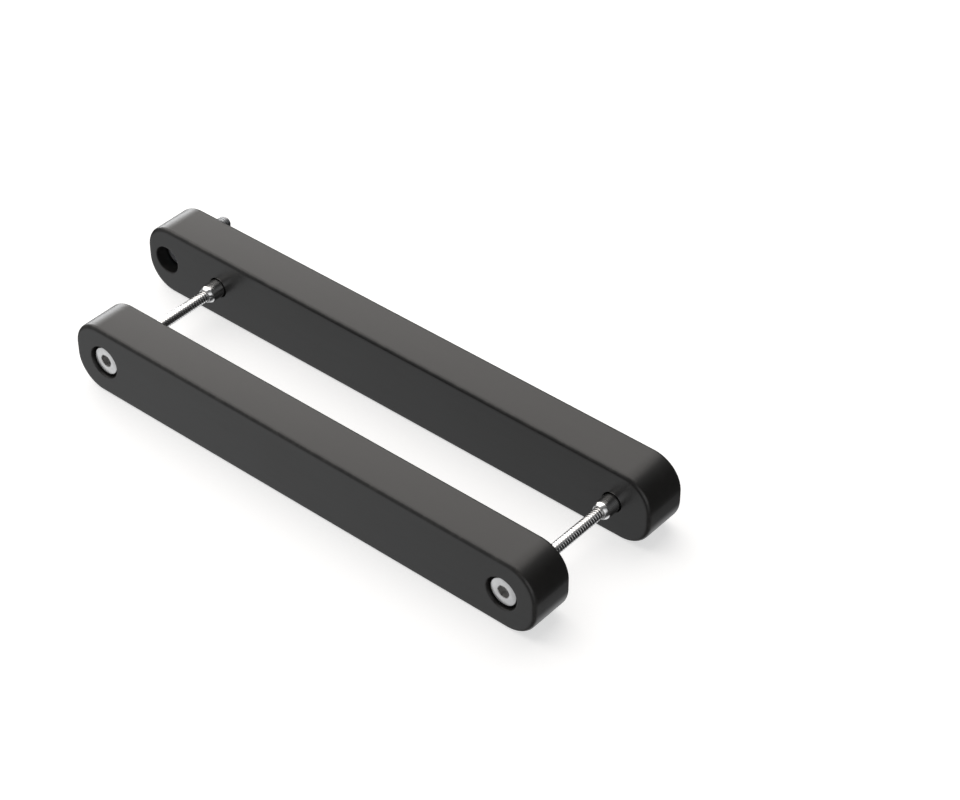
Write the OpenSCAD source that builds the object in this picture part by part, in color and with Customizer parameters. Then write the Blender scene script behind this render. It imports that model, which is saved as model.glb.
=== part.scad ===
// Banister clamp for a stair gate.
//
// Two bars with rounded ends stand parallel, one in front of the other, and grip a banister
// between them. A flanged sleeve nut sits in a stepped hole at each end of each bar, and a
// threaded rod joins each facing pair. Turning the front nuts with a hex key pulls the front
// bar towards the rear one. The rear bar is longer at its left, where a cap screw in a deep
// counterbore fastens it to the gate's side post.
//
// Frame: X along the bars, Y from the front bar to the rear one, Z up. The origin is at the
// bottom centre of the whole clamp, so it stands on the bars' lower edges. Millimetres.

/* [Bars] */
// Height of both bars
bar_h = 40; // [36:1:60]
// Thickness of both bars, front to back
bar_t = 25.5; // [24:0.5:30]
// Radius of the bars' rounded corners, seen from the front
end_r = 17; // [10:0.5:17.5]
// Radius of the rounding along all long edges
edge_r = 2.2; // [1:0.1:3]
// Clear gap between the bars
gap = 56; // [48:0.5:58]

/* [Rod positions] */
// Distance between the two rods
rod_pitch = 260; // [160:5:320]
// How far the front bar runs past each rod
front_over = 20; // [19:0.5:30]
// How far the rear bar runs past the left rod
rear_over_left = 51.5; // [48:0.5:80]
// How far the rear bar runs past the right rod
rear_over_right = 22.5; // [19:0.5:40]

/* [Threaded rods] */
// Thread diameter of the rods
rod_d = 6; // [6:1:6]
// Length of each rod
rod_len = 75; // [72:1:80]

/* [Sleeve nuts] */
// Flange diameter
flange_d = 15.4; // [14:0.2:16]
// Flange thickness
flange_t = 2; // [1.6:0.1:2.4]
// Depth of the flange face below the bar's surface
flange_recess = 1.5; // [1:0.1:2]
// Outer diameter of the barrel
barrel_d = 9.8; // [9:0.1:10]
// How far the barrel stands out of the bar towards the other bar
barrel_proud = 9.8; // [6:0.1:12]
// Length of the tapered mouth
mouth_len = 2; // [1:0.1:4]
// Diameter at the tip of the tapered mouth
mouth_d = 7.6; // [7:0.1:8.4]
// Hex socket, across flats
socket_af = 6; // [5:0.5:6]
// Depth of the hex socket
socket_depth = 4; // [3:0.5:5]
// Metal left between the socket and the thread
web = 1.5; // [1:0.1:2]

/* [Holes in the bars] */
// Diameter of the recess that takes a flange
recess_d = 18; // [17:0.5:19]
// Diameter of the hole that a barrel passes through
barrel_hole_d = 11; // [10.4:0.1:12]

/* [Gate screw] */
// Distance from the rear bar's left end to the screw
screw_inset = 14; // [13:0.5:16]
// Diameter of the deep counterbore
counterbore_d = 15.4; // [14:0.1:16]
// Depth of the screw's head below the bar's surface
head_recess = 7; // [4:0.5:8]
// Thread diameter
screw_d = 8; // [8:1:8]
// Length under the head
screw_len = 30; // [25:5:40]
// Diameter of the plain neck inside the bar
neck_d = 7.2; // [7:0.1:7.6]
// Diameter of the clearance hole
screw_hole_d = 8.8; // [8.6:0.1:9]

/* [Hidden] */
$fn = 96;

BAR = "#2d2d2c";
PLATED = "#c3c4c6";

eps = 0.01;
// A cylindrical cap screw has a head of 13 by 8 on an 8 mm thread, with a 6 mm hex.
screw_head_d = screw_d + 5;
screw_head_h = screw_d;
screw_socket_af = 6;
screw_socket_depth = screw_head_h / 2;
screw_tip = 1.2;
// Room between a rod and its nut, on the diameter
thread_play = 0.1;
rod_tip = 0.8;
flange_chamfer = 0.35;
mouth_flare = 0.3;
socket_turn = -4;

neck_len = bar_t - head_recess - screw_head_h;
screw_proud = screw_len - neck_len;
depth = 2 * bar_t + gap + screw_proud;
front_face = -depth / 2;
front_jaw = front_face + bar_t;
rear_jaw = front_jaw + gap;
rear_face = rear_jaw + bar_t;

rear_len = rear_over_left + rod_pitch + rear_over_right;
rear_x0 = -rear_len / 2;
left_x = rear_x0 + rear_over_left;
right_x = left_x + rod_pitch;
screw_x = rear_x0 + screw_inset;
mid_z = bar_h / 2;

recess_depth = flange_recess + flange_t;
nut_len = bar_t - flange_recess + barrel_proud;
thread_depth = nut_len - socket_depth - web;
nut_face_front = front_face + flange_recess;
nut_face_rear = rear_face - flange_recess;
rod_start = nut_face_front + socket_depth + web;

// ---- shapes that repeat ----

// A w by h rectangle with corners of radius r, from the origin to +X and +Y.
module rounded_rect(w, h, r) {
    translate([r, 0]) square([w - 2 * r, h]);
    translate([0, r]) square([w, h - 2 * r]);
    for (x = [r, w - r], y = [r, h - r])
        translate([x, y]) circle(r);
}

// The same, rounded on the outer side only: flat where x is 0.
module half_rounded_rect(w, h, r) {
    square([w - r, h]);
    translate([0, r]) square([w, h - 2 * r]);
    for (y = [r, h - r])
        translate([w - r, y]) circle(r);
}

// One rounded end of a bar that lies flat, its outermost line at x = 0.
module bar_end() {
    for (corner = [[end_r, 180], [bar_h - end_r, 90]])
        translate([end_r, corner[0], 0])
            rotate([0, 0, corner[1]])
                rotate_extrude(angle = 90)
                    half_rounded_rect(end_r, bar_t, edge_r);
    translate([end_r, bar_h - end_r, 0])
        rotate([90, 0, 0])
            linear_extrude(bar_h - 2 * end_r)
                mirror([1, 0]) half_rounded_rect(end_r, bar_t, edge_r);
}

// A bar from x0 to x1, upright, with its front at y.
module bar_blank(x0, x1, y) {
    translate([0, y + bar_t, 0]) rotate([90, 0, 0]) {
        translate([x0, 0, 0]) bar_end();
        translate([x1, 0, 0]) mirror([1, 0, 0]) bar_end();
        translate([x0 + end_r, 0, 0])
            rotate([90, 0, 90])
                linear_extrude(x1 - x0 - 2 * end_r)
                    rounded_rect(bar_h, bar_t, edge_r);
    }
}

// Places its children at x and mid height, with their +Z along +Y from y.
module along_y(x, y) {
    translate([x, y, mid_z]) rotate([-90, 0, 0]) children();
}

// The same, with their +Z along -Y from y.
module against_y(x, y) {
    translate([x, y, mid_z]) rotate([90, 0, 0]) children();
}

// The stepped hole for one nut, entered at z = 0.
module nut_hole() {
    translate([0, 0, -eps]) cylinder(d = recess_d, h = recess_depth + eps);
    translate([0, 0, -eps]) cylinder(d = barrel_hole_d, h = bar_t + 2 * eps);
}

// A hexagonal prism, given across its flats, with a corner on the X axis.
module hex(af, h) {
    cylinder(d = af / cos(30), h = h, $fn = 6);
}

// A flanged sleeve nut, its flange face at z = 0 and its mouth at z = nut_len.
module sleeve_nut() {
    bore_r = (rod_d + thread_play) / 2;
    color(PLATED) difference() {
        rotate_extrude()
            polygon([
                [0, 0],
                [flange_d / 2 - flange_chamfer, 0],
                [flange_d / 2, flange_chamfer],
                [flange_d / 2, flange_t],
                [barrel_d / 2, flange_t],
                [barrel_d / 2, nut_len - mouth_len],
                [mouth_d / 2, nut_len],
                [0, nut_len]
            ]);
        translate([0, 0, nut_len - thread_depth])
            cylinder(r = bore_r, h = thread_depth + eps);
        translate([0, 0, nut_len - mouth_flare])
            cylinder(r1 = bore_r, r2 = bore_r + mouth_flare + eps, h = mouth_flare + eps);
        translate([0, 0, -eps]) rotate([0, 0, socket_turn])
            hex(socket_af, socket_depth + eps);
    }
}

// A rod from z = 0 to rod_len, tapered a little at both tips.
module rod() {
    color(PLATED) rotate_extrude()
        polygon([
            [0, 0],
            [rod_d / 2 - rod_tip, 0],
            [rod_d / 2, rod_tip],
            [rod_d / 2, rod_len - rod_tip],
            [rod_d / 2 - rod_tip, rod_len],
            [0, rod_len]
        ]);
}

// ---- sub-parts ----

module front_bar() {
    color(BAR) difference() {
        bar_blank(left_x - front_over, right_x + front_over, front_face);
        for (x = [left_x, right_x])
            along_y(x, front_face) nut_hole();
    }
}

module rear_bar() {
    color(BAR) difference() {
        bar_blank(rear_x0, rear_x0 + rear_len, rear_jaw);
        for (x = [left_x, right_x])
            against_y(x, rear_face) nut_hole();
        along_y(screw_x, rear_jaw - eps)
            cylinder(d = counterbore_d, h = head_recess + screw_head_h + eps);
        along_y(screw_x, rear_jaw)
            cylinder(d = screw_hole_d, h = bar_t + eps);
    }
}

module front_left_nut() {
    along_y(left_x, nut_face_front) sleeve_nut();
}

module front_right_nut() {
    along_y(right_x, nut_face_front) sleeve_nut();
}

module rear_left_nut() {
    against_y(left_x, nut_face_rear) sleeve_nut();
}

module rear_right_nut() {
    against_y(right_x, nut_face_rear) sleeve_nut();
}

module left_rod() {
    along_y(left_x, rod_start) rod();
}

module right_rod() {
    along_y(right_x, rod_start) rod();
}

// The cap screw that holds the clamp to the gate's side post.
module gate_screw() {
    color(PLATED) along_y(screw_x, rear_jaw + head_recess) difference() {
        rotate_extrude()
            polygon([
                [0, 0],
                [screw_head_d / 2 - flange_chamfer, 0],
                [screw_head_d / 2, flange_chamfer],
                [screw_head_d / 2, screw_head_h],
                [neck_d / 2, screw_head_h],
                [neck_d / 2, screw_head_h + neck_len],
                [screw_d / 2, screw_head_h + neck_len],
                [screw_d / 2, screw_head_h + screw_len - screw_tip],
                [screw_d / 2 - screw_tip, screw_head_h + screw_len],
                [0, screw_head_h + screw_len]
            ]);
        translate([0, 0, -eps]) hex(screw_socket_af, screw_socket_depth + eps);
    }
}

front_bar();
rear_bar();
front_left_nut();
front_right_nut();
rear_left_nut();
rear_right_nut();
left_rod();
right_rod();
gate_screw();
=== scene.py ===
# %% [markdown]
# # A banister clamp, dressed in Blender
#
# Two lacquered bars grip a banister between them, so that a stair gate has something to be
# screwed to. A sleeve nut sits in a stepped hole at each end of each bar, and a threaded rod
# joins each facing pair. The CAD model already says where everything is and how it moves. This
# lesson builds the pieces that are seen: rounded bars, turned nuts and helical threads, and the
# finishes on them. It starts by loading the CAD model as a frame that is never moved.

# %% Load the frame
import math

import bmesh
import bpy
from mathutils import Matrix, Vector


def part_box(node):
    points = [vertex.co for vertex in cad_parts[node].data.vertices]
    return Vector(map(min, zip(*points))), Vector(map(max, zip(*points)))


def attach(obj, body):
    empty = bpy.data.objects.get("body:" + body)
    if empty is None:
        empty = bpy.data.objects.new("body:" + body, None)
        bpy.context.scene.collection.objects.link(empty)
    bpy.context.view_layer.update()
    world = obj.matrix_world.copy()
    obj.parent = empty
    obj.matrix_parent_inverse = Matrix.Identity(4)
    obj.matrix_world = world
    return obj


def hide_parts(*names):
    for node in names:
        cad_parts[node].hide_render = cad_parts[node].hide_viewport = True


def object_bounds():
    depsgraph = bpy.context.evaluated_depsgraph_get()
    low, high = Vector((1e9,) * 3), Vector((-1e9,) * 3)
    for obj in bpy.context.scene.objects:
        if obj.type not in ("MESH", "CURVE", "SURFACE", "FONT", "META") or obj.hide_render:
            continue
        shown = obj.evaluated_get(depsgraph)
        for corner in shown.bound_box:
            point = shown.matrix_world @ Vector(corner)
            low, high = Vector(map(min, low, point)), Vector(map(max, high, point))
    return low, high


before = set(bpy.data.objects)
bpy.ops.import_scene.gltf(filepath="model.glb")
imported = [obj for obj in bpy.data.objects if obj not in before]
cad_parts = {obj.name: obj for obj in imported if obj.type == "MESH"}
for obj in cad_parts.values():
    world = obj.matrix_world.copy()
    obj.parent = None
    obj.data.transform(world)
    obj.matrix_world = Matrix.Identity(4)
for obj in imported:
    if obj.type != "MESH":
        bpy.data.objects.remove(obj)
cad_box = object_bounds()
MM = 0.001
print("size, mm:", [round(side / MM, 1) for side in cad_box[1] - cad_box[0]])

# %% [markdown]
# ## Sizes
#
# Lengths and places are read from the frame, so they follow the CAD model. The few that a box
# can't give, such as a radius or a wall, are named here in metres.

# %% Name the sizes
END_R = 17 * MM
EDGE_R = 2.2 * MM
RECESS_R = 9 * MM
RECESS_DEPTH = 3.5 * MM
BARREL_HOLE_R = 5.5 * MM
COUNTERBORE_R = 7.7 * MM
COUNTERBORE_DEPTH = 15 * MM
SCREW_HOLE_R = 4.4 * MM
FLANGE_T = 2 * MM
BARREL_R = 4.9 * MM
MOUTH_R = 3.8 * MM
MOUTH_LEN = 2 * MM
BORE_R = 3.05 * MM
SOCKET_FLATS = 6 * MM
SOCKET_DEPTH = 4 * MM
SOCKET_TURN = math.radians(-4)
WEB = 1.5 * MM
HEAD_LEN = 8 * MM
NECK_R = 3.6 * MM
NECK_END = 18.5 * MM

front_lo, front_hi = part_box("front_bar")
rear_lo, rear_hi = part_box("rear_bar")
mid_z = (front_lo.z + front_hi.z) / 2
bar_t = front_hi.y - front_lo.y


def middle_x(node):
    """Where the axis of a round node stands along the bars."""
    low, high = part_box(node)
    return (low.x + high.x) / 2


left_x = middle_x("front_left_nut")
right_x = middle_x("front_right_nut")
screw_x = middle_x("gate_screw")
print("axes along the bars, mm:", [round(x / MM, 1) for x in (left_x, right_x, screw_x)])

# %% [markdown]
# ## The camera
#
# The clamp is looked down on from its front right. A long lens keeps the bars nearly parallel.
# The camera is placed by its two angles and its distance from a point near the middle, because
# those are easier to think in than three coordinates.

# %% Place the camera
AZIMUTH = math.radians(40.155)
ELEVATION = math.radians(39.609)
DISTANCE = 1.3157
LENS = 99.615
middle = (cad_box[0] + cad_box[1]) / 2
aim = middle + Vector((46.8 * MM, 37.6 * MM, -1.7 * MM))
back = Vector((
    math.sin(AZIMUTH) * math.cos(ELEVATION),
    -math.cos(AZIMUTH) * math.cos(ELEVATION),
    math.sin(ELEVATION),
))
camera = bpy.data.objects.new("camera", bpy.data.cameras.new("camera"))
bpy.context.scene.collection.objects.link(camera)
camera.data.lens = LENS
camera.data.clip_start = 0.01
camera.location = aim + back * DISTANCE
camera.rotation_mode = "QUATERNION"
camera.rotation_quaternion = back.to_track_quat("Z", "Y")
bpy.context.scene.camera = camera
bpy.context.scene.view_settings.view_transform = "Standard"
print("camera, m:", [round(c, 3) for c in camera.location])

# %% [markdown]
# ## A lathe in four helpers
#
# Nuts, rods, screws and the walls of holes are all round, and on the real clamp they come off a
# lathe or a drill. They are made the same way here: a wire of points beside the axis, its
# corners eased, is spun once round. Vertex bevels ease the corners of a wire before the spin,
# which is simpler than finding the ring edges afterwards. The lathe's axis is Z.

# %% Make the lathe
STEPS = 72
WELD = 0.0001 * MM


def wire(bm, points):
    """Lays (radius, height) points as a wire beside the axis and returns its vertices."""
    verts = [bm.verts.new((radius, 0, height)) for radius, height in points]
    for pair in zip(verts, verts[1:]):
        bm.edges.new(pair)
    return verts


def ease(bm, corner, radius, segments=3):
    """Rounds one corner of a wire."""
    bmesh.ops.bevel(bm, geom=[corner], offset=radius, offset_type="OFFSET", segments=segments,
                    profile=0.5, affect="VERTICES", material=-1)


def turn(bm, steps=STEPS):
    """Spins the wire once round and closes the seam and the poles."""
    bmesh.ops.spin(bm, geom=bm.verts[:] + bm.edges[:], cent=(0, 0, 0), axis=(0, 0, 1),
                   dvec=(0, 0, 0), angle=2 * math.pi, steps=steps, use_merge=True,
                   use_normal_flip=False, use_duplicate=False)
    bmesh.ops.remove_doubles(bm, verts=bm.verts[:], dist=WELD)


def turned(points, eased, steps=STEPS):
    """A turned shape in a bmesh of its own: eased gives {corner: radius}."""
    bm = bmesh.new()
    verts = wire(bm, points)
    for corner, radius in eased.items():
        ease(bm, verts[corner], radius)
    turn(bm, steps)
    return bm


def pour(bm, part):
    """Moves everything from one bmesh into another."""
    carrier = bpy.data.meshes.new("carrier")
    part.to_mesh(carrier)
    part.free()
    bm.from_mesh(carrier)
    bpy.data.meshes.remove(carrier)


trial = turned([(0, 0), (BARREL_R, 0), (BARREL_R, FLANGE_T), (0, FLANGE_T)], {1: 0.3 * MM})
print("a trial disc has", len(trial.faces), "faces")
trial.free()

# %% [markdown]
# ## From a bmesh to a piece
#
# Every piece is finished alike. Its place goes into its mesh, so that the object stays at the
# origin as a CAD node does. A turned piece remembers where each point was on the lathe, in an
# attribute, so one finish can put turning marks on all of them. Edges that bend sharply are
# marked sharp and the rest is smooth. A count of open edges shows whether the skin is closed.

# %% Finish a piece
SHARP = math.radians(32)
along = Matrix.Rotation(-math.pi / 2, 4, "X")
against = Matrix.Rotation(math.pi / 2, 4, "X")


def seat(x, y, facing):
    """The matrix that puts a lathe's axis on a rod's line, its zero at y."""
    return Matrix.Translation((x, y, mid_z)) @ facing


def remember_lathe(bm):
    """Writes each point's place on the lathe into the piece."""
    layer = bm.verts.layers.float_vector.new("lathe")
    for vert in bm.verts:
        vert[layer] = vert.co


def finish_piece(bm, name, body, node, material):
    """Makes a bmesh into an object that stands for a CAD node and rides on its body."""
    bmesh.ops.recalc_face_normals(bm, faces=bm.faces[:])
    for face in bm.faces:
        face.smooth = True
    for edge in bm.edges:
        edge.smooth = edge.calc_face_angle(0) < SHARP
    open_edges = sum(not edge.is_manifold for edge in bm.edges)
    mesh = bpy.data.meshes.new(name)
    bm.to_mesh(mesh)
    bm.free()
    mesh.materials.append(material)
    piece = bpy.data.objects.new(name, mesh)
    bpy.context.scene.collection.objects.link(piece)
    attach(piece, body)
    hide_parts(node)
    print(f"{name}: {len(mesh.polygons)} faces, {open_edges} open edges")
    return piece


# %% [markdown]
# ## Writing finishes as sums
#
# A finish is a node tree, and most of it is arithmetic. One small class wraps a socket, so that
# an expression such as 1 - mask * 0.3 adds its Math nodes. Every other node comes from its one
# method, which takes the node's type, its settings, and what goes into its sockets.

# %% Wrap a socket
class Flow:
    """One output in a node tree, which Python's operators work on."""

    def __init__(self, tree, socket=None):
        self.tree = tree
        self.socket = socket

    def node(self, kind, settings, inputs, output=0):
        """Adds a node. A ramp's stops are a setting: a list of (place, grey level)."""
        made = self.tree.nodes.new("ShaderNode" + kind)
        for name, value in settings.items():
            if name == "stops":
                self.set_stops(made.color_ramp, value)
            else:
                setattr(made, name, value)
        for key, value in inputs.items():
            if isinstance(value, Flow):
                self.tree.links.new(value.socket, made.inputs[key])
            else:
                made.inputs[key].default_value = value
        return Flow(self.tree, made.outputs[output])

    def set_stops(self, ramp, stops):
        while len(ramp.elements) < len(stops):
            ramp.elements.new(1)
        for element, (place, level) in zip(ramp.elements, stops):
            element.position = place
            element.color = (level, level, level, 1)

    def math(self, operation, *values):
        return self.node("Math", {"operation": operation}, dict(enumerate(values)))

    def __add__(self, other):
        return self.math("ADD", self, other)

    __radd__ = __add__

    def __mul__(self, other):
        return self.math("MULTIPLY", self, other)

    __rmul__ = __mul__

    def __sub__(self, other):
        return self.math("SUBTRACT", self, other)

    def __rsub__(self, other):
        return self.math("SUBTRACT", other, self)

    def rise(self, low, high):
        """0 below low, 1 above high, and an easy curve between. Low may be the larger."""
        return self.node("MapRange", {"interpolation_type": "SMOOTHSTEP"},
                         {"Value": self, "From Min": low, "From Max": high})

    def scaled(self, factors):
        """A vector with its three sides multiplied."""
        return self.node("VectorMath", {"operation": "MULTIPLY"}, {0: self, 1: factors})

    def noise(self, place, scale, detail=3.0, roughness=0.5):
        """Soft noise from 0 to 1 about 0.5, with scale in cycles a metre."""
        return self.node("TexNoise", {}, {"Vector": place, "Scale": scale, "Detail": detail,
                                          "Roughness": roughness}, "Fac")

    def blend(self, first, second):
        """A colour from first to second as this flow goes from 0 to 1."""
        return self.node("Mix", {"data_type": "RGBA"}, {0: self, 6: first, 7: second}, 2)


def grey(level, warmth=0.0):
    """A nearly neutral colour, warmer with a positive warmth."""
    return (level * (1 + warmth), level, level * (1 - warmth), 1)


def new_finish(name, **constants):
    """A material with one Principled shader, whose constants are set on its own sockets."""
    material = bpy.data.materials.new(name)
    material.use_nodes = True
    shader = next(n for n in material.node_tree.nodes if n.type == "BSDF_PRINCIPLED")
    for socket, value in constants.items():
        shader.inputs[socket.replace("_", " ")].default_value = value
    return material, shader, Flow(material.node_tree)


def connect(shader, **flows):
    """Links what varies over the surface to the shader's sockets."""
    for socket, flow in flows.items():
        flow.tree.links.new(flow.socket, shader.inputs[socket.replace("_", " ")])


print("finishes are written with", Flow.__name__)

# %% [markdown]
# ## Finish: black lacquer
#
# The bars are beech under a satin black lacquer. The wood's long grain shows through the film
# only as a faint ripple along the bar, and sprayed lacquer dries with a fine orange peel. Both
# are bump and a little roughness, because the colour is almost even. Handling polishes the
# edges and leaves a few fine scuffs. The edge attribute, written with the bars, says where.

# %% Mix the black lacquer
def black_lacquer():
    material, shader, flow = new_finish("lacquer_finish", IOR=1.5)
    place = flow.node("TexCoord", {}, {}, "Object")
    edge = flow.node("Attribute", {"attribute_name": "edge"}, {}, "Fac")
    grain = flow.noise(place.scaled((22, 420, 420)), 1.0, 4.0, 0.6)
    peel = flow.noise(place, 1500, 2.0)
    speck = flow.noise(place, 5200, 1.0)
    cloud = flow.noise(place, 38, 3.0)
    scuff = flow.noise(place.scaled((90, 900, 900)), 1.0, 5.0, 0.7).rise(0.66, 0.76)
    rub = edge * flow.noise(place, 160, 4.0, 0.65).rise(0.42, 0.68)
    body = (cloud * 0.5 + speck * 0.5).rise(0.3, 0.7)
    black = body.blend(grey(0.0085, 0.02), grey(0.0135, 0.05))
    worn = (rub * 0.45 + scuff * 0.1).blend(black, grey(0.05, 0.06))
    rough = 0.27 + grain * 0.05 + cloud * 0.08 + speck * 0.05 - rub * 0.06 + scuff * 0.08
    height = peel * 0.5 + speck * 0.25 + grain * 0.45
    ripple = flow.node("Bump", {}, {"Strength": 0.35, "Distance": 0.02 * MM, "Height": height})
    connect(shader, Base_Color=worn, Roughness=rough, Normal=ripple)
    return material


lacquer = black_lacquer()
print("black lacquer has", len(lacquer.node_tree.nodes), "nodes")

# %% [markdown]
# ## Finish: bright plate
#
# The nuts are turned steel with a bright nickel plate. The tool leaves rings that the plate
# follows: round the axis on a face and round the barrel beside it. Both are the same noise, read
# at the lathe's radius and height. The flange's face is tumbled to a satin, so it is rougher
# than the barrel, and the broached socket is rougher still. The socket's colour is also darker,
# as painted shade inside the recess. Plate dulls in soft clouds where fingers have been, and has
# a few fine pits.

# %% Mix the bright plate
def lathe_place(flow):
    """The piece's place on the lathe, the radius there, and the height."""
    place = flow.node("Attribute", {"attribute_name": "lathe"}, {}, "Vector")
    flat = place.scaled((1, 1, 0))
    radius = flow.node("VectorMath", {"operation": "LENGTH"}, {0: flat}, "Value")
    height = flow.node("SeparateXYZ", {}, {0: place}, "Z")
    return place, radius, height


def bright_plate():
    material, shader, flow = new_finish("plate_finish", Metallic=1.0)
    place, radius, height = lathe_place(flow)
    rings_at = flow.node("CombineXYZ", {}, {0: radius, 1: height, 2: 0.0})
    rings = flow.noise(rings_at, 5200, 2.0)
    cloud = flow.noise(place, 260, 4.0, 0.6)
    pits = flow.noise(place, 6500, 1.0).rise(0.68, 0.8)
    face = height.rise(0.3 * MM, 0.05 * MM)
    socket = radius.rise(3.7 * MM, 3.4 * MM)
    dull = cloud.rise(0.35, 0.75)
    silver = dull.blend(grey(0.85, 0.0), grey(0.77, 0.01))
    # The pits are real; the darker colour in the socket is painted shade.
    pits_and_socket_shade = (pits * 0.35 + socket * 0.6).blend(silver, grey(0.42, 0.02))
    rough = 0.13 + face * 0.15 + socket * 0.25 + rings * 0.07 + dull * 0.06 + pits * 0.15
    tool = flow.node("Bump", {}, {"Strength": 0.3, "Distance": 0.01 * MM,
                                  "Height": rings + cloud * 0.3 + pits * 0.4})
    connect(shader, Base_Color=pits_and_socket_shade, Roughness=rough, Normal=tool)
    return material


plate = bright_plate()
print("bright plate has", len(plate.node_tree.nodes), "nodes")

# %% [markdown]
# ## Finish: rolled thread and zinc
#
# The rods' threads are rolled, which leaves the crests burnished and smoother than the roots.
# The roots are painted darker than the crests as painted shade in the grooves, and a trace of
# oil darkens the thread in soft patches. The lathe's radius tells crest from root, so the same
# finish serves both thread sizes when it is told the root and the crest. The gate screw is zinc
# plated: greyer, bluer and a little rougher, and roughest on its forged head.

# %% Mix the thread finishes
def rolled_steel(name, root, crest, bright, dark, polish, head):
    material, shader, flow = new_finish(name, Metallic=1.0)
    place, radius, height = lathe_place(flow)
    # 1 on the crests, 0 in the roots: it makes the roots rougher, and darker as painted shade.
    burnish_and_root_shade = radius.rise(root, crest)
    cloud = flow.noise(place, 420, 4.0, 0.6)
    fine = flow.noise(place, 4200, 2.0)
    oily = flow.noise(place, 900, 3.0).rise(0.35, 0.7)
    shade = (burnish_and_root_shade * 0.8 + 0.2) * (1 - oily * 0.18)
    tone = shade.blend(dark, bright)
    on_head = height.rise(HEAD_LEN + 0.2 * MM, HEAD_LEN)
    rough = polish + cloud * 0.08 + fine * 0.06 + (1 - burnish_and_root_shade) * 0.16 + on_head * head
    skin = flow.node("Bump", {}, {"Strength": 0.3, "Distance": 0.01 * MM,
                                  "Height": fine + cloud * 0.5})
    connect(shader, Base_Color=tone, Roughness=rough, Normal=skin)
    return material


ROD_ROOT = 2.85 * MM
ROD_CREST = 3.0 * MM
M8_ROOT = 3.23 * MM
M8_CREST = 4.0 * MM
rod_steel = rolled_steel("rod_finish", ROD_ROOT, ROD_CREST, grey(0.84), grey(0.6, 0.02), 0.10, 0.0)
ZINC = (0.70, 0.72, 0.74, 1)
# The zinc thread's colour in its roots, darkened as painted shade.
ZINC_ROOT_SHADE = (0.34, 0.34, 0.35, 1)
screw_zinc = rolled_steel("screw_finish", M8_ROOT, M8_CREST, ZINC, ZINC_ROOT_SHADE, 0.26, 0.25)
print("thread finishes:", rod_steel.name, "and", screw_zinc.name)

# %% [markdown]
# ## The bars
#
# A bar is a length of beech, its ends rounded and its long edges routed before it is sprayed.
# The same order works here: a cube is stretched to size, four edges get a wide bevel, then both
# outlines get a narrow one. The flat faces are inset before they are cut away, which leaves a
# rim that keeps the shading of the rounded edge off the flat.

# %% Shape a blank
FACE_RIM = 1 * MM
END_SEGMENTS = 24
EDGE_SEGMENTS = 8


def bar_blank(low, high):
    """A rounded bar whose two flat faces are left open inside their rims."""
    bm = bmesh.new()
    bmesh.ops.create_cube(bm, size=1)
    bmesh.ops.scale(bm, vec=high - low, verts=bm.verts[:])
    bmesh.ops.translate(bm, vec=(low + high) / 2, verts=bm.verts[:])
    across = [e for e in bm.edges if abs(e.verts[0].co.y - e.verts[1].co.y) > bar_t / 2]
    bmesh.ops.bevel(bm, geom=across, offset=END_R, offset_type="OFFSET",
                    segments=END_SEGMENTS, profile=0.5, affect="EDGES", material=-1)
    outlines = [e for e in bm.edges if abs(e.verts[0].co.y - e.verts[1].co.y) < bar_t / 2]
    bmesh.ops.bevel(bm, geom=outlines, offset=EDGE_R, offset_type="OFFSET",
                    segments=EDGE_SEGMENTS, profile=0.5, affect="EDGES", material=-1)
    flats = [f for f in bm.faces if len(f.verts) > 4]
    bmesh.ops.inset_region(bm, faces=flats, thickness=FACE_RIM, depth=0, use_boundary=True,
                           use_even_offset=True)
    bmesh.ops.delete(bm, geom=flats, context="FACES_ONLY")
    return bm


blank = bar_blank(front_lo, front_hi)
print("a blank has", len(blank.faces), "faces")
blank.free()

# %% [markdown]
# ## Holes
#
# Each nut drops into a wide recess for its flange and a narrower hole for its barrel. The gate
# screw has a deep counterbore. A boolean could cut them, but it leaves ragged triangles, so the
# wall of each hole is turned on the lathe with its lips eased, and set into the open faces. The
# faces are then filled from the outline to the lips.

# %% Drill the holes
LIP = 0.4 * MM


def stepped_hole(wide, depth, narrow):
    """The wall of a hole through a bar, wide to a depth and narrow beyond it."""
    points = [(wide + FACE_RIM, 0), (wide, 0), (wide, depth), (narrow, depth),
              (narrow, bar_t), (narrow + FACE_RIM, bar_t)]
    return turned(points, {1: LIP, 4: LIP, 3: LIP / 2})


def close_faces(bm, low, high):
    """Fills both flat faces between the outline and the lips of the holes."""
    for y, normal in ((low.y, (0, -1, 0)), (high.y, (0, 1, 0))):
        rims = [e for e in bm.edges
                if e.is_boundary and all(abs(v.co.y - y) < 0.01 * MM for v in e.verts)]
        bmesh.ops.triangle_fill(bm, use_beauty=True, use_dissolve=False, edges=rims,
                                normal=normal)


def mark_edges(bm, low, high):
    """Writes 1 where the skin bends from a side to a face, and 0 on flats and in holes."""
    bm.normal_update()
    layer = bm.verts.layers.float.new("edge")
    for vert in bm.verts:
        lean = math.asin(min(1, abs(vert.normal.y))) / (math.pi / 4)
        near_face = min(vert.co.y - low.y, high.y - vert.co.y) < EDGE_R
        vert[layer] = (1 - abs(lean - 1)) * near_face


def make_bar(low, high, holes, name):
    bm = bar_blank(low, high)
    for hole, place in holes:
        bmesh.ops.transform(hole, matrix=place, verts=hole.verts[:])
        pour(bm, hole)
    close_faces(bm, low, high)
    bmesh.ops.recalc_face_normals(bm, faces=bm.faces[:])
    mark_edges(bm, low, high)
    return finish_piece(bm, name + "_lacquered", name, name, lacquer)


nut_holes = [(stepped_hole(RECESS_R, RECESS_DEPTH, BARREL_HOLE_R), seat(x, front_lo.y, along))
             for x in (left_x, right_x)]
make_bar(front_lo, front_hi, nut_holes, "front_bar")

# %% [markdown]
# The rear bar has the same two holes turned round, entered from its back, and the screw's
# counterbore, entered from its front.

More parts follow.
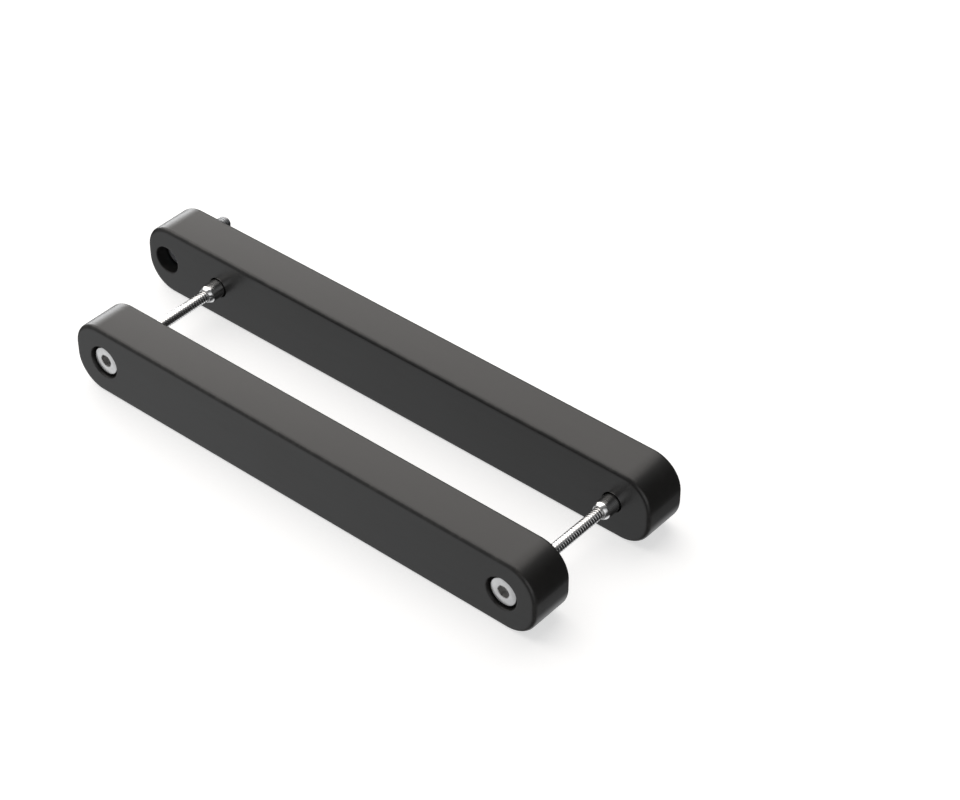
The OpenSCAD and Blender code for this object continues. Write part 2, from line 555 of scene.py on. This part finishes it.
# %% Make the rear bar
rear_holes = [(stepped_hole(RECESS_R, RECESS_DEPTH, BARREL_HOLE_R), seat(x, rear_hi.y, against))
              for x in (left_x, right_x)]
screw_hole = stepped_hole(COUNTERBORE_R, COUNTERBORE_DEPTH, SCREW_HOLE_R)
rear_holes.append((screw_hole, seat(screw_x, rear_lo.y, along)))
make_bar(rear_lo, rear_hi, rear_holes, "rear_bar")

# %% [markdown]
# ## The hex socket
#
# A nut or a screw is driven by a hex key. Its socket is broached: a slight countersink at the
# mouth, six flat walls, and the cone of the drill that went in first. It grows out of the open
# ring in the middle of a turned face, one extrusion for each part. Every new ring keeps the
# ring's 72 points and only changes how far out they stand, so the hexagon joins the round face
# with no twist. Its corners fall on points because the lathe's seam is turned to one first.

# %% Broach a socket
COUNTERSINK = 0.15 * MM
DRILL_R = 2.5 * MM
DRILL_CONE = 0.9 * MM


def on_hexagon(flats):
    """A rule for how far out a point stands on a hexagon, given across its flats."""
    def reach(point):
        around = math.atan2(point.y, point.x) - SOCKET_TURN
        return flats / 2 / math.cos(around % (math.pi / 3) - math.pi / 6)
    return reach


def pull(bm, ring, height, reach):
    """Extrudes a ring of edges, sets its height and its reach, and returns the new ring."""
    made = bmesh.ops.extrude_edge_only(bm, edges=ring)["geom"]
    for vert in [g for g in made if isinstance(g, bmesh.types.BMVert)]:
        vert.co.z = height
        vert.co.xy *= reach(vert.co) / vert.co.xy.length
    return [g for g in made if isinstance(g, bmesh.types.BMEdge) and g.is_boundary]


def broach(bm):
    """Closes the open ring of a face with a hex socket."""
    bmesh.ops.rotate(bm, cent=(0, 0, 0), matrix=Matrix.Rotation(SOCKET_TURN, 3, "Z"),
                     verts=bm.verts[:])
    ring = [e for e in bm.edges if e.is_boundary]
    ring = pull(bm, ring, 0, on_hexagon(SOCKET_FLATS + 2 * COUNTERSINK))
    ring = pull(bm, ring, COUNTERSINK, on_hexagon(SOCKET_FLATS))
    ring = pull(bm, ring, SOCKET_DEPTH, on_hexagon(SOCKET_FLATS))
    ring = pull(bm, ring, SOCKET_DEPTH, lambda point: DRILL_R)
    pull(bm, ring, SOCKET_DEPTH + DRILL_CONE, lambda point: 0)
    bmesh.ops.remove_doubles(bm, verts=bm.verts[:], dist=WELD)


# %% [markdown]
# ## The sleeve nuts
#
# A sleeve nut is a threaded tube with a flange. The flange bears on the bottom of its recess,
# and the tube reaches through the bar to meet the rod. Its mouth is tapered so that it finds the
# hole. The whole outline is one wire, from the face, round the flange, along the barrel, in at
# the mouth and down the bore to its closed end.

# %% Turn the nuts
SOCKET_RING = 4.3 * MM
flange_lo, flange_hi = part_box("front_left_nut")
flange_r = (flange_hi.x - flange_lo.x) / 2
nut_len = flange_hi.y - flange_lo.y


def sleeve_nut():
    points = [
        (SOCKET_RING, 0), (flange_r, 0), (flange_r, FLANGE_T), (BARREL_R, FLANGE_T),
        (BARREL_R, nut_len - MOUTH_LEN), (MOUTH_R, nut_len), (BORE_R, nut_len),
        (BORE_R, SOCKET_DEPTH + WEB), (0, SOCKET_DEPTH + WEB),
    ]
    eased = {1: 0.35 * MM, 2: 0.2 * MM, 4: 0.4 * MM, 5: 0.2 * MM, 6: 0.2 * MM}
    bm = turned(points, eased)
    broach(bm)
    remember_lathe(bm)
    return bm


NUTS = {
    "front_left_nut": ("left_screw", along),
    "front_right_nut": ("right_screw", along),
    "rear_left_nut": ("rear_bar", against),
    "rear_right_nut": ("rear_bar", against),
}
for node, (body, facing) in NUTS.items():
    nut = sleeve_nut()
    low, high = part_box(node)
    face_y = low.y if facing is along else high.y
    bmesh.ops.transform(nut, matrix=seat(middle_x(node), face_y, facing), verts=nut.verts[:])
    finish_piece(nut, node + "_turned", body, node, plate)

# %% [markdown]
# ## Threads
#
# A thread is a groove that climbs one pitch a turn. The profile of one pitch is spun through one
# turn with a small rise at each step. Copies of that turn are stacked a pitch apart, and they
# meet point to point, so they merge into one skin. Two cuts trim it, the tips are turned down to
# a cone, and the ends are capped. A positive turn climbs, which makes it right-handed.

# %% Cut a thread
THREAD_STEPS = 32
ROOT_SHARE = 0.12


def thread(root, crest, pitch, crest_share, start, stop, tip):
    """A solid threaded stretch from start to stop, its ends tapered by tip."""
    bm = bmesh.new()
    flank = (1 - ROOT_SHARE - crest_share) / 2
    points = [(root, 0), (root, ROOT_SHARE), (crest, ROOT_SHARE + flank), (crest, 1 - flank),
              (root, 1)]
    verts = wire(bm, [(radius, start + (place - 1) * pitch) for radius, place in points])
    for corner in verts[1:4]:
        ease(bm, corner, flank * pitch / 4, 2)
    bmesh.ops.spin(bm, geom=bm.verts[:] + bm.edges[:], cent=(0, 0, 0), axis=(0, 0, 1),
                   dvec=(0, 0, pitch / THREAD_STEPS), angle=2 * math.pi, steps=THREAD_STEPS,
                   use_merge=False, use_normal_flip=False, use_duplicate=False)
    one_turn = bm.verts[:] + bm.edges[:] + bm.faces[:]
    for count in range(1, math.ceil((stop - start) / pitch) + 2):
        copy = bmesh.ops.duplicate(bm, geom=one_turn)["geom"]
        verts = [g for g in copy if isinstance(g, bmesh.types.BMVert)]
        bmesh.ops.translate(bm, vec=(0, 0, pitch * count), verts=verts)
    bmesh.ops.remove_doubles(bm, verts=bm.verts[:], dist=0.001 * MM)
    for height, outward in ((start, -1), (stop, 1)):
        bmesh.ops.bisect_plane(bm, geom=bm.verts[:] + bm.edges[:] + bm.faces[:],
                               dist=WELD, plane_co=(0, 0, height),
                               plane_no=(0, 0, outward), clear_outer=True)
    for vert in bm.verts:
        room = crest - tip + min(vert.co.z - start, stop - vert.co.z)
        radius = vert.co.xy.length
        if radius > room:
            vert.co.xy *= room / radius
    bmesh.ops.holes_fill(bm, edges=[e for e in bm.edges if e.is_boundary], sides=0)
    return bm


# %% [markdown]
# ## The rods
#
# The rods carry the whole pull of the clamp. Each is 6 mm thick with a coarse rolled thread, so
# that a turn closes the clamp by 1.6 mm. Its crest is broad and its root is narrow. The root is
# also shallower than a working thread's would be, for the look of it. A rod is screwed to the
# bottom of its front nut and about 10 mm into its rear one.

# %% Roll the rods
ROD_PITCH = 1.6 * MM
ROD_CREST_SHARE = 0.7
ROD_TIP = 0.8 * MM
for side in ("left", "right"):
    node = side + "_rod"
    low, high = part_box(node)
    rod = thread(ROD_ROOT, ROD_CREST, ROD_PITCH, ROD_CREST_SHARE, 0, high.y - low.y, ROD_TIP)
    remember_lathe(rod)
    bmesh.ops.transform(rod, matrix=seat(middle_x(node), low.y, along), verts=rod.verts[:])
    finish_piece(rod, node + "_threaded", side + "_screw", node, rod_steel)

# %% [markdown]
# ## The gate screw
#
# One cap screw holds the clamp to the gate's side post. Its head is knurled for the fingers: on
# the lathe's outermost ring, every other line of points is pressed in. The plain neck and the
# M8 thread below it are two closed shapes that meet face to face.

# %% Make the gate screw
KNURL_DEPTH = 0.16 * MM
M8_PITCH = 1.25 * MM
M8_CREST_SHARE = 0.2
SCREW_TIP = 1.2 * MM
SIDE_DEPTH = 0.1 * MM
RING_RISE = 0.11 * MM
screw_lo, screw_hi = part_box("gate_screw")
head_r = (screw_hi.x - screw_lo.x) / 2


def knurl(bm):
    """Presses in every other line of points on the side of the head."""
    step = 2 * math.pi / STEPS
    for vert in bm.verts:
        on_side = vert.co.xy.length > head_r - KNURL_DEPTH / 2
        count = round(math.atan2(vert.co.y, vert.co.x) / step * 2)
        if on_side and count % 2:
            vert.co.xy *= 1 - KNURL_DEPTH / head_r


def cap_screw():
    points = [(SOCKET_RING, 0), (head_r, 0), (head_r, HEAD_LEN), (NECK_R, HEAD_LEN),
              (NECK_R, NECK_END), (0, NECK_END)]
    bm = turned(points, {1: 0.6 * MM, 2: 0.3 * MM, 3: 0.4 * MM})
    sides = [f for f in bm.faces if f.calc_center_median().xy.length > head_r - SIDE_DEPTH]
    rings = {e for f in sides for e in f.edges
             if abs(e.verts[0].co.z - e.verts[1].co.z) < RING_RISE}
    bmesh.ops.subdivide_edges(bm, edges=list(rings), cuts=1)
    knurl(bm)
    broach(bm)
    tip_at = screw_hi.y - screw_lo.y
    pour(bm, thread(M8_ROOT, M8_CREST, M8_PITCH, M8_CREST_SHARE, NECK_END, tip_at, SCREW_TIP))
    remember_lathe(bm)
    return bm


screw = cap_screw()
bmesh.ops.transform(screw, matrix=seat(screw_x, screw_lo.y, along), verts=screw.verts[:])
finish_piece(screw, "gate_screw_zinc", "gate_screw", "gate_screw", screw_zinc)

# %% [markdown]
# ## The stage
#
# The clamp stands on a plain pale floor. A little light of its own keeps the floor pale in every
# direction, so that the shadows stay soft.

# %% Lay the floor
FLOOR_R = 6.0
FLOOR_SEGMENTS = 96


def pale_floor():
    material, shader, flow = new_finish("pale_floor", Roughness=0.9)
    shader.inputs["Specular IOR Level"].default_value = 0.0
    shader.inputs["Base Color"].default_value = grey(0.55)
    place = flow.node("TexCoord", {}, {}, "Object")
    away = flow.node("VectorMath", {"operation": "LENGTH"}, {0: place}, "Value")
    shader.inputs["Emission Strength"].default_value = 1.0
    glow = away.rise(0.5, 3.0).blend(grey(0.62), grey(1.0))
    connect(shader, Emission_Color=glow)
    return material


floor_bm = bmesh.new()
bmesh.ops.create_circle(floor_bm, cap_ends=True, radius=FLOOR_R,
                        segments=FLOOR_SEGMENTS)
floor_mesh = bpy.data.meshes.new("floor")
floor_bm.to_mesh(floor_mesh)
floor_bm.free()
floor_mesh.materials.append(pale_floor())
floor = bpy.data.objects.new("floor", floor_mesh)
bpy.context.scene.collection.objects.link(floor)
floor.visible_glossy = False
print("the floor is", 2 * FLOOR_R, "m across")

# %% [markdown]
# ## The light
#
# Black lacquer and bright plate show mostly what they mirror, so the light is chosen by what
# each face sees. A broad warm softbox high on the left is mirrored by the tops of the bars. The
# rest of the studio is drawn in the world shader: a dim wall that brightens towards the softbox,
# a grey wall at the front left for the long edges, a strip low on the left that is mirrored along
# the left ends, and a fill at the front right for whoever looks from behind. Three pale stretches
# of floor light the sides: one before the clamp for its front faces, one behind it for its lowest
# edges, and one far off at the front right for low views. The wall and the near floor to the
# right stay dark, which gives the rods their black band and the bars their dark right ends.

# %% Draw the studio
KEY_TOWARDS = Vector((-0.5, 0.22, 0.84)).normalized()
STRIP_TOWARDS = Vector((-0.86, 0.5, 0.08)).normalized()
FRONT_WALL_TOWARDS = Vector((-0.6, -0.8, 0.1)).normalized()
FILL_TOWARDS = Vector((0.68, -0.68, 0.27)).normalized()
KEY_RADIUS = 1.45
KEY_DISTANCE = 1.5
KEY_RADIANCE = 1.65
WALL_RADIANCE = 0.03
GLOW_RADIANCE = 0.25
STRIP_RADIANCE = 5.0
FRONT_WALL_RADIANCE = 0.35
FILL_RADIANCE = 1.0
BACK_FLOOR_RADIANCE = 0.9
RIGHT_FLOOR_RADIANCE = 0.45


def studio():
    world = bpy.data.worlds.new("studio")
    world.use_nodes = True
    flow = Flow(world.node_tree)
    towards = flow.node("TexCoord", {}, {}, "Generated")
    x = flow.node("SeparateXYZ", {}, {0: towards}, "X")
    y = flow.node("SeparateXYZ", {}, {0: towards}, "Y")
    z = flow.node("SeparateXYZ", {}, {0: towards}, "Z")

    def near(direction):
        """1 where a ray goes straight towards a direction, and -1 where it goes away."""
        return flow.node("VectorMath", {"operation": "DOT_PRODUCT"},
                         {0: towards, 1: direction}, "Value")

    wall = WALL_RADIANCE + near(KEY_TOWARDS).rise(0.1, 0.8) * GLOW_RADIANCE
    strip = near(STRIP_TOWARDS).rise(0.945, 0.995) * STRIP_RADIANCE
    front_wall = near(FRONT_WALL_TOWARDS).rise(0.75, 0.95) * FRONT_WALL_RADIANCE
    fill = near(FILL_TOWARDS).rise(0.8, 0.97) * FILL_RADIANCE
    shade = flow.math("MAXIMUM", 0.085 - x * 1.3, 0.02)
    front_floor = z.rise(-0.3, -0.62) * y.rise(0.05, -0.45) * shade
    back_floor = z.rise(-0.66, -0.8) * y.rise(-0.2, 0.2) * x.rise(-0.4, -0.1)
    low = z.rise(-0.1, -0.3) * z.rise(-0.56, -0.42)
    right_floor = low * y.rise(-0.25, -0.6) * x.rise(0.1, 0.5)
    walls = wall + strip + front_wall + fill
    floors = front_floor + back_floor * BACK_FLOOR_RADIANCE + right_floor * RIGHT_FLOOR_RADIANCE
    seen = walls + floors
    direct = flow.node("LightPath", {}, {}, "Is Camera Ray")
    strength = seen + direct * (1 - seen)
    background = next(n for n in world.node_tree.nodes if n.type == "BACKGROUND")
    background.inputs["Color"].default_value = grey(1.0, -0.01)
    connect(background, Strength=strength)
    bpy.context.scene.world = world


def softbox(name, towards, distance, radius, radiance, warmth):
    """A round area light that looks at the clamp, given by how bright its face is."""
    lamp = bpy.data.lights.new(name, "AREA")
    lamp.shape = "DISK"
    lamp.size = 2 * radius
    lamp.energy = radiance * math.pi * math.pi * radius ** 2
    lamp.color = grey(1.0, warmth)[:3]
    box = bpy.data.objects.new(name, lamp)
    bpy.context.scene.collection.objects.link(box)
    box.location = middle + towards * distance
    box.rotation_mode = "QUATERNION"
    box.rotation_quaternion = towards.to_track_quat("Z", "Y")
    print(f"{name}: {2 * radius} m across, {lamp.energy:.1f} W")


studio()
softbox("key", KEY_TOWARDS, KEY_DISTANCE, KEY_RADIUS, KEY_RADIANCE, 0.04)
